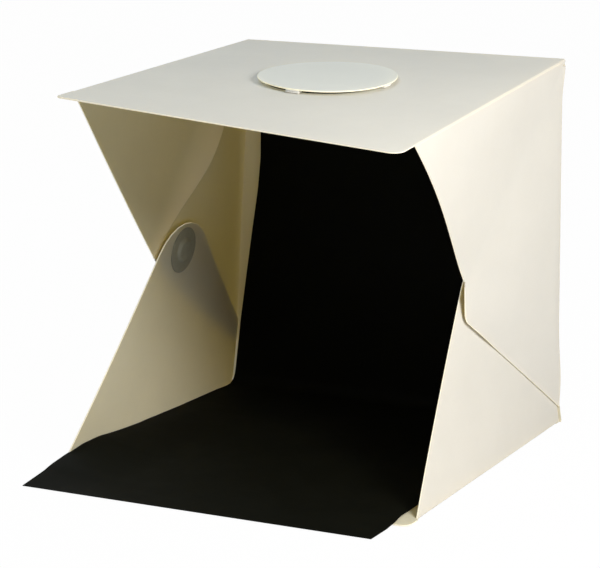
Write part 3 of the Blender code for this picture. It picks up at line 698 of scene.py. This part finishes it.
def buildTop():
    p = panels
    w, trimmed = p["halfWidth"], p["halfWidth"] - p["fold"]
    rear, notch = p["rear"] - p["fold"], p["flapFront"] - p["notchGap"]
    corners = [(trimmed, rear), (-trimmed, rear), (-trimmed, notch), (-w, notch),
               (-w, p["topFront"], p["leftCorner"]), (w, p["topFront"], p["cornerRadius"]),
               (w, notch), (trimmed, notch)]
    high, foldHeight = p["height"], p["height"] - p["fold"]
    fold = (metres(-trimmed, rear, foldHeight), metres(trimmed, rear, foldHeight), (0, 0, 1), (0, 1, 0))
    creases = [(metres(x, p["flapFront"], high), metres(x, rear, high)) for x in (-w, w)]
    top = addSheet("topSheet", [roundedRing(corners), circleRing(0, p["holeY"], p["holeRadius"])],
                   metres(0, 0, high), (1, 0, 0), (0, 1, 0), [fold], creases, creases)
    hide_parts("top_panel")
    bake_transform(top)


def buildBack():
    p = panels
    w, t = p["halfWidth"], p["fold"]
    low, high = t, p["height"] - t
    # The corners are given as seen from the front and turned over below, so that the outer side faces +y
    left, right = p["rearHeel"]["left"], p["rearHeel"]["right"]
    corners = [(-leftEdgeAt(low), low), (-leftEdgeAt(left), left), (t - leftEdgeAt(left), left),
               (-leftEdgeAt(high) + t, high), (w - t, high), (w - t, right), (w, right), (w, low)]
    rear, face = p["rear"] - t, p["rear"]
    fold = (metres(-leftEdgeAt(low), rear, low), metres(w, rear, low), (0, 0, -1), (0, 1, 0))
    creases = [(metres(-leftEdgeAt(0), face, 0), metres(-w, face, p["height"])),
               (metres(w, face, 0), metres(w, face, p["height"])),
               (metres(-w, face, high), metres(w, face, high))]
    ring = roundedRing(corners) * np.array((-1, 1))
    back = addSheet("backSheet", [ring], metres(0, face, 0), (-1, 0, 0), (0, 0, 1), [fold], creases, creases)
    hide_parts("back_panel")
    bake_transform(back)


def buildBottom():
    p = panels
    t, front, rear = p["fold"], p["lowerFront"] - p["notchGap"], p["lowerRear"] + p["notchGap"]
    left, right, end = -p["lowerLeft"], p["lowerRight"], p["rear"] - p["fold"]
    corners = [(left, end), (left, rear), (left + t, rear), (left + t, front), (left, front),
               (left, p["bottomFront"], p["cornerRadius"]), (right, p["bottomFront"], p["cornerRadius"]),
               (right, front), (right - t, front), (right - t, rear), (right, rear), (right, end)]
    ring = roundedRing(corners) * np.array((-1, 1))
    creases = [(metres(x, front, 0), metres(x, rear, 0)) for x in (left, right)]
    creases.append((metres(left, end, 0), metres(right, end, 0)))
    bottom = addSheet("bottomSheet", [ring], (0, 0, 0), (-1, 0, 0), (0, 1, 0), [], creases, creases)
    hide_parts("bottom_panel")
    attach(bottom, "base")


buildTop()
buildBack()
buildBottom()
print("panels built")


# Side flaps

# carrier is the body whose panel the flap is creased to; panelNormal is that panel's outer side
flaps = {
    "upper": {"carrier": "top", "panelNormal": (0, 0, 1), "along": (0, -1, 0), "bendReach": 22},
    "rear": {"carrier": "back", "panelNormal": (0, 1, 0), "along": None, "bendReach": 16},
    "lower": {"carrier": "base", "panelNormal": (0, 0, -1), "along": (0, -1, 0), "bendReach": 22},
    # points this near count as on the edge
    "creaseWithin": 0.3, "rearEdgeWithin": 1,
    # closes the sloping crease, where the way from the back and the height add up to more than creaseSum
    "creaseGain": {"left": (1.26, 0.00118), "right": (1.10, 0.00615)}, "creaseSum": 237.8,
    # the rear flaps' lower edges, which lie below this share of the height
    "lowEdgeDrop": {"left": -3.0, "right": 4.5}, "lowEdgeBelow": 0.6,
    # the right lower flap's front edge runs further back, and its upright rear edge stands nearer the back
    "lowerShear": {"left": 0.0, "right": 0.075}, "lowerRear": {"left": 1.5, "right": 4.6},
    # the left upper flap is painted paler in a wide band near its sloping crease: painted light for the extra
    # light that band catches
    "paintedLightBand": (19, 1.0), "fineStep": 3.0}
hinges = {joint["child"]: joint for joint in frame["joints"]}


def buildFlap(side, kind):
    facts = flaps[kind]
    sign = -1 if side == "left" else 1
    node = side + "_" + kind + "_flap"
    body = side + "_" + kind
    hinge = hinges[body]
    pivot = np.array(hinge["pos_m"], float)
    if kind == "rear":
        along = Vector(hinge["axis"]).normalized()
        along = along if along.z > 0 else -along
    else:
        along = Vector(facts["along"])
    ring, normal = outlineOf(node, (sign, 0, 0))
    # away lies in the flap and points away from its crease
    away = normal.cross(along)
    if away.dot(Vector(ring.mean(0) - pivot)) < 0:
        away = -away
    reach = (ring - pivot) @ np.array(away)
    run = (ring - pivot) @ np.array(along)
    near = flaps["creaseWithin"] * mm
    start, end = run[reach < near].min(), run[reach < near].max()
    if kind != "lower":
        # the crease's end at the top rear corner reaches a little further into the corner
        more = panels["cornerReach"][kind] * mm
        atEnd = (reach < near) & (np.abs(run - (end if kind == "rear" else start)) < near)
        run = run + atEnd * (more if kind == "rear" else -more)
        start, end = (start, end + more) if kind == "rear" else (start - more, end)
    if kind == "rear":
        # the sloping edge moves up to meet the upper flap, both coordinates by the same step
        total = reach + panels["fold"] * mm + run
        sloping = total > flaps["creaseSum"] * mm
        lowEdge = ~sloping & (run < flaps["lowEdgeBelow"] * panels["height"] * mm)
        gain, growth = flaps["creaseGain"][side]
        closing = sloping * (gain * mm + growth * reach)
        reach = reach + closing
        run = run + closing - lowEdge * flaps["lowEdgeDrop"][side] * mm
        start -= flaps["lowEdgeDrop"][side] * mm
    if kind == "lower":
        # along runs to the front here, so this moves each point back by a share of its height
        rearEdge = run < run.min() + flaps["rearEdgeWithin"] * mm
        moved = np.where(rearEdge, flaps["lowerRear"][side] * mm, flaps["lowerShear"][side] * reach)
        run = run - moved
        start -= flaps["lowerRear"][side] * mm
    flipped = Vector(away).cross(along).dot(normal) < 0
    ring2 = np.stack([-reach if flipped else reach, run], axis=1)
    axisU = -away if flipped else away
    origin = pivot + np.array(normal) * sheetForm["thickness"] * mm
    inner = pivot - np.array((sign * sheetForm["foldInner"] * mm, 0, 0))
    fold = (inner + np.array(along) * start, inner + np.array(along) * end, facts["panelNormal"],
            tuple(normal))
    gusset = []
    if kind != "lower":
        w, h, r = panels["halfWidth"], panels["height"], panels["rear"]
        lean = math.acos(max(-1.0, min(1.0, abs(normal.x))))
        inward = (h / 2) * math.sin(lean) if kind == "upper" or side == "right" else 0.0
        gusset = [(metres(sign * w, r, h), metres(sign * (w - inward), r - h / 2, h / 2))]
    # Painted light: a wide, strong pale band on the left upper flap along its sloping crease
    wearAndLightBands = [gusset[0] + flaps["paintedLightBand"]] if (side, kind) == ("left", "upper") else ()
    flap = addSheet(node + "Sheet", [ring2], origin, axisU, along, [fold], wearAndLightBands, gusset,
                    flaps["fineStep"] if kind != "lower" else None, 0.0 if kind == "lower" else 1.0)
    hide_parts(node)
    middle = inner + np.array(along) * (start + end) / 2
    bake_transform(flap)


for side in ("left", "right"):
    for kind in ("upper", "rear", "lower"):
        buildFlap(side, kind)
print("flaps built")


# Cover and its pads

# Angles in degrees, mergeWithin in metres
copying = {"mergeWithin": 1e-6, "flatAngle": 1, "edgeAngle": 25, "bevelSteps": 2}


def settledCopy(node, body, finishes, bevel, waistShare=1.0, lower=0.0, partOf=None):
    # A CAD piece's own mesh, softened at its edges and settled with the sheet it is on.
    # partOf gives a face's material number from its place in the box, 0 to 1, and its normal.
    build = bmesh.new()
    build.from_mesh(frame["nodes"][node].data)
    c, flat, edge = copying, math.radians(copying["flatAngle"]), math.radians(copying["edgeAngle"])
    bmesh.ops.remove_doubles(build, verts=build.verts, dist=c["mergeWithin"])
    bmesh.ops.dissolve_limit(build, angle_limit=flat, verts=build.verts, edges=build.edges)
    sharpEdges = [e for e in build.edges if e.calc_face_angle(0) > edge]
    bmesh.ops.bevel(build, geom=sharpEdges, offset=bevel * mm, segments=c["bevelSteps"], profile=0.5,
                    affect="EDGES", clamp_overlap=True)
    bmesh.ops.triangulate(build, faces=[f for f in build.faces if len(f.verts) > 4])
    points = np.array([v.co for v in build.verts]) - np.array((0, 0, lower * mm))
    faces = [[v.index for v in f.verts] for f in build.faces]
    parts = [0] * len(faces)
    if partOf:
        corner, opposite = points.min(0), points.max(0)
        build.normal_update()
        for number, (face, made) in enumerate(zip(faces, build.faces)):
            parts[number] = partOf((points[face].mean(0) - corner) / (opposite - corner), made.normal)
    build.free()
    materials = [hard[name] for name in finishes]
    piece = addMesh(node + "Piece", settle(points, waistShare), faces, parts, materials)
    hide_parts(node)
    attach(piece, body)


# Pressed onto its pads, a little off centre
cover = {"radius": 43.2, "ringPoints": 120, "offset": 1.7, "pressed": 0.4, "loopsLowered": 0.2,
         "padBevel": 0.3}


def buildCover():
    ring = circleRing(cover["offset"], panels["holeY"], cover["radius"], cover["ringPoints"])
    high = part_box("top_cover")[1].z - cover["pressed"] * mm
    disc = addSheet("coverDisc", [ring], (0, 0, high), (1, 0, 0), (0, 1, 0), [], materials=coverSet)
    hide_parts("top_cover")
    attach(disc, "cover")
    for number in "1234":
        for kind, body, lower in (("hook", "top", 0.0), ("loop", "cover", cover["loopsLowered"])):
            settledCopy("cover_" + kind + "_pad_" + number, body, ["hookPadWhite"],
                        cover["padBevel"], lower=lower)


buildCover()
print("cover built")


# Magnets and their patches

patch = {"radius": 15, "film": 0.3, "bevel": 0.08, "magnetRadius": 6, "magnetThickness": 1.5,
         "magnetBevel": 0.12, "domeHeight": 1.75, "shoulder": 2.4, "raised": 0.02,
         "rings": 22, "turns": 64, "sharpAngle": 50,
         "wrinkle": 0.10, "crimps": 9, "crimpDrift": 2, "crimpFrom": 7, "crimpWidth": 8}


def buildPatch(side):
    # A film disc over the magnet: a dome in the middle, a soft shoulder, and a pressed-down rim
    sign = -1 if side == "left" else 1
    node = side + "_magnet_patch"
    low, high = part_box(side + "_lower_magnet")
    normal = -outlineOf(side + "_lower_flap", (sign, 0, 0))[1]
    centre = (low + high) / 2
    foot = centre - normal * patch["magnetThickness"] / 2 * mm
    place = settledPlace(foot, (0, -1, 0), normal, 0.0)
    points, faces = [], []
    for r in range(patch["rings"] + 1):
        radius = patch["radius"] * r / patch["rings"]
        slope = 1 - smoothStep((radius - patch["magnetRadius"]) / patch["shoulder"])
        for t in range(patch["turns"] if r else 1):
            angle = 2 * math.pi * t / patch["turns"]
            drift = patch["crimpDrift"] * math.sin(2 * angle)
            crimp = (1 + math.sin(patch["crimps"] * angle + drift)) / 2
            outward = float(np.clip((radius - patch["crimpFrom"]) / patch["crimpWidth"], 0, 1))
            fold = patch["wrinkle"] * crimp * math.sin(math.pi * outward)
            height = patch["raised"] + patch["domeHeight"] * float(slope) + fold
            points.append(metres(radius * math.cos(angle), radius * math.sin(angle), height))
    turns = patch["turns"]
    for t in range(turns):
        faces.append([0, 1 + t, 1 + (t + 1) % turns])
    for r in range(1, patch["rings"]):
        a, b = 1 + (r - 1) * turns, 1 + r * turns
        for t in range(turns):
            faces.append([a + t, b + t, b + (t + 1) % turns, a + (t + 1) % turns])
    points, faces = thicken(np.array(points), faces, patch["film"] * mm, patch["bevel"] * mm, 1.0)[:2]
    film = addMesh(node + "Film", points, faces, [0] * len(faces), [hard["patchFilm"]],
                   patch["sharpAngle"], matrix=place)
    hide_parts(node)
    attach(film, side + "_lower")


for side in ("left", "right"):
    buildPatch(side)
    for kind in ("rear", "lower"):
        settledCopy(side + "_" + kind + "_magnet", side + "_" + kind, ["magnetPlating"],
                    patch["magnetBevel"], waistShare=0.0 if kind == "lower" else 1.0)
print("magnets and patches built")


# Lamp strip

# Edge softening in millimetres, places as shares of the piece's box
strip = {"single": (("lamp_tape", "tape", "foamTape", 0.1), ("lamp_board", "board", "boardLacquer", 0.12),
                    ("power_socket", "socket", "socketSteel", 0.08),
                    ("socket_tongue", "tongue", "tongueBlack", 0.06)),
         "lampBevel": 0.06, "facingDown": -0.8, "windowFrom": 0.08, "windowHalf": 0.38,
         "resistorBevel": 0.05, "capFrom": 0.30}


def inWindow(place, normal):
    # The yellow filling at the bottom of a lamp's sunken window, which faces down
    sunken = normal.z < strip["facingDown"] and place[2] > strip["windowFrom"]
    return int(sunken and max(abs(place[0] - 0.5), abs(place[1] - 0.5)) < strip["windowHalf"])


def onCap(place, normal):
    # The soldered caps at a resistor's two ends
    return int(abs(place[0] - 0.5) > strip["capFrom"])


for node, slotName, finish, bevel in strip["single"]:
    settledCopy(node, "top", [finish], bevel)
for node in sorted(frame["nodes"]):
    if node.startswith("lamp_") and node[5:].isdigit():
        settledCopy(node, "top", ["lampHousing", "lampGel"], strip["lampBevel"], partOf=inWindow)
    if node.startswith("strip_resistor"):
        settledCopy(node, "top", ["resistorBlack", "solder"], strip["resistorBevel"],
                    partOf=onCap)
print("lamp strip built")


# Black backdrop

backdrop = {"thickness": 0.5, "cutBevel": 0.08, "padBevel": 0.3, "top": 230, "floor": 1.45, "bend": 8,
            "clearance": 0.3, "settleBends": 4, "columnPower": 1.25,
            "front": -142, "frontRight": 105.2, "bottomLip": 10, "liftWidth": 50, "ripple": 1.6,
            # the left edge on the floor: in front of the rear, out from the middle, and its height
            "footEdge": ((0, 124.3, 0), (11, 125.8, 0), (32, 126.4, 0.5), (63, 127.2, 1.6),
                         (103, 128.5, 1.8), (123, 129, 3), (143, 129.3, 5.5), (172, 129.7, 9),
                         (191, 130.2, 9.3), (212, 131.2, 7.4), (254, 136.3, 0)),
            # the left edge of the hanging part, by height
            "leftEdge": ((0, 124.3), (47, 118), (105, 108.7), (136, 103.4), (158, 100.9), (175, 100.5),
                         (230, 101.5)),
            "columns": 64, "rows": 130, "sharpAngle": 40, "flatWidth": 241, "flatLength": 485}
backdrop["rear"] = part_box("backdrop_loop_pad_1")[0].y / mm - backdrop["clearance"] - backdrop["thickness"] / 2


def sweepLine(run):
    # Depth and height of the sheet's middle line, a distance down from its upper edge
    d = backdrop
    drop = d["top"] - d["floor"] - d["bend"]
    if run < drop:
        return d["rear"], d["top"] - run
    turn = (run - drop) / d["bend"]
    if turn < math.pi / 2:
        return d["rear"] - d["bend"] * (1 - math.cos(turn)), d["floor"] + d["bend"] * (1 - math.sin(turn))
    depth = d["rear"] - d["bend"] - (run - drop - d["bend"] * math.pi / 2)
    offFloor = float(smoothStep((panels["bottomFront"] - depth) / d["bottomLip"]))
    return depth, d["floor"] - sheetForm["thickness"] * offFloor


def backdropPoint(acrossShare, run):
    d = backdrop
    depth, height = sweepLine(run)
    onFloor = float(smoothStep((d["rear"] - depth) / (d["settleBends"] * d["bend"])))
    floorShare = (d["rear"] - depth) / (d["rear"] - panels["flapFront"])
    rippleShare = math.sin(math.pi * min(1.0, floorShare)) ** 2
    height += d["ripple"] * rippleShare * (1 + math.cos(2 * math.pi * (2 * floorShare + acrossShare))) / 2
    reach, footX, rise = np.array(d["footEdge"], float).T
    lift = float(np.interp(panels["rear"] - depth, reach, rise)) * onFloor
    hanging = float(np.interp(height, *np.array(d["leftEdge"], float).T))
    left = -(hanging + (float(np.interp(panels["rear"] - depth, reach, footX)) - hanging) * onFloor)
    side = left + (d["frontRight"] - left) * acrossShare
    height += lift * (1 - float(smoothStep((side - left) / d["liftWidth"])))
    return metres(side, depth, height)


def buildBackdrop():
    d = backdrop
    total = d["top"] - d["floor"] - d["bend"] + d["bend"] * math.pi / 2 + d["rear"] - d["bend"] - d["front"]
    # Columns lie closer together at the left, where the edge rides up
    points = np.array([backdropPoint((c / d["columns"]) ** d["columnPower"], total * r / d["rows"])
                       for r in range(d["rows"] + 1) for c in range(d["columns"] + 1)])
    wide = d["columns"] + 1
    faces = [[r * wide + c, (r + 1) * wide + c, (r + 1) * wide + c + 1, r * wide + c + 1]
             for r in range(d["rows"]) for c in range(d["columns"])]
    points[:, 2] += edgeCurl(points / mm) * mm
    points, faces = thicken(points, faces, d["thickness"] * mm, d["cutBevel"] * mm, 0.5)[:2]
    sheet = addMesh("backdropSheet", points, faces, [0] * len(faces), [hard["blackBackdropSheet"]],
                    d["sharpAngle"])
    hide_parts("backdrop")
    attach(sheet, "base")
    for number in "12":
        settledCopy("backdrop_hook_pad_" + number, "back", ["hookPadWhite"], d["padBevel"])
        settledCopy("backdrop_loop_pad_" + number, "base", ["loopPadBlack"], d["padBevel"])


buildBackdrop()
print("backdrop built")


# Floor, world and lamps

# Sizes and places in metres, apart from floorDrop
studio = {"floorSize": 12.0, "floorDrop": 0.3, "floorTones": ((0.86, 0.86, 0.86), (0.88, 0.88, 0.88)),
          "floorRoughness": 0.9, "floorShine": 0.1, "cloudScale": 3.0, "whiteShare": 0.985, "ambient": 0.03,
          "key": {"place": (0.70, -0.29, 0.56), "size": 0.28, "watts": 8.2, "colour": (1.0, 0.96, 0.885)},
          "over": {"place": (-0.45, -0.05, 1.25), "size": 0.9, "watts": 7.1, "colour": (0.80, 0.935, 1.0)},
          "aim": (0, 0, 0.11)}


def seenStraight(nodes, links):
    # 1 for the camera, mirrors and glass, 0 for light that falls on the object
    path = nodes.new("ShaderNodeLightPath").outputs
    value = path["Is Camera Ray"]
    for kind in ("Is Glossy Ray", "Is Transmission Ray"):
        value = mathStep(nodes, links, "MAXIMUM", value, path[kind])
    return value


def addFloor():
    half = studio["floorSize"] / 2
    points = [(-half, -half, 0), (half, -half, 0), (half, half, 0), (-half, half, 0)]
    made, nodes, links, shader, coords = newMaterial("studioFloor")
    cloud = noiseAt(nodes, links, coords, studio["cloudScale"], 3, 0.5)
    setInputs(links, shader, {
        "Base Color": ramp(nodes, links, cloud, zip(noiseSpan, studio["floorTones"])),
        "Roughness": studio["floorRoughness"], "Specular IOR Level": studio["floorShine"]})
    share = mathStep(nodes, links, "MULTIPLY", seenStraight(nodes, links), studio["whiteShare"])
    mixShaders(nodes, links, share, shader, nodes.new("ShaderNodeEmission"))
    floor = addMesh("studioFloor", points, [[0, 1, 2, 3]], [0], [made])
    floor.location.z = -studio["floorDrop"] * mm


def addWorld():
    world = bpy.data.worlds.new("paleRoom")
    bpy.context.scene.world = world
    world.use_nodes = True
    nodes, links = world.node_tree.nodes, world.node_tree.links
    room, white = nodes["Background"], nodes.new("ShaderNodeBackground")
    setInputs(links, room, {"Color": (1, 1, 1, 1), "Strength": studio["ambient"]})
    setInputs(links, white, {"Color": (1, 1, 1, 1)})
    mixShaders(nodes, links, seenStraight(nodes, links), room, white, "World Output")


def addLamp(name, facts):
    data = bpy.data.lights.new(name, "AREA")
    data.shape, data.size, data.energy = "SQUARE", facts["size"], facts["watts"]
    data.color = facts["colour"]
    aim = Vector(studio["aim"]) - Vector(facts["place"])
    turn = aim.to_track_quat("-Z", "Y").to_matrix().to_4x4()
    addObject(name, data).matrix_world = Matrix.Translation(facts["place"]) @ turn


addFloor()
addWorld()
addLamp("keyLamp", studio["key"])
addLamp("overLamp", studio["over"])
bpy.context.scene.view_settings.view_transform = "Standard"
print("studio built")
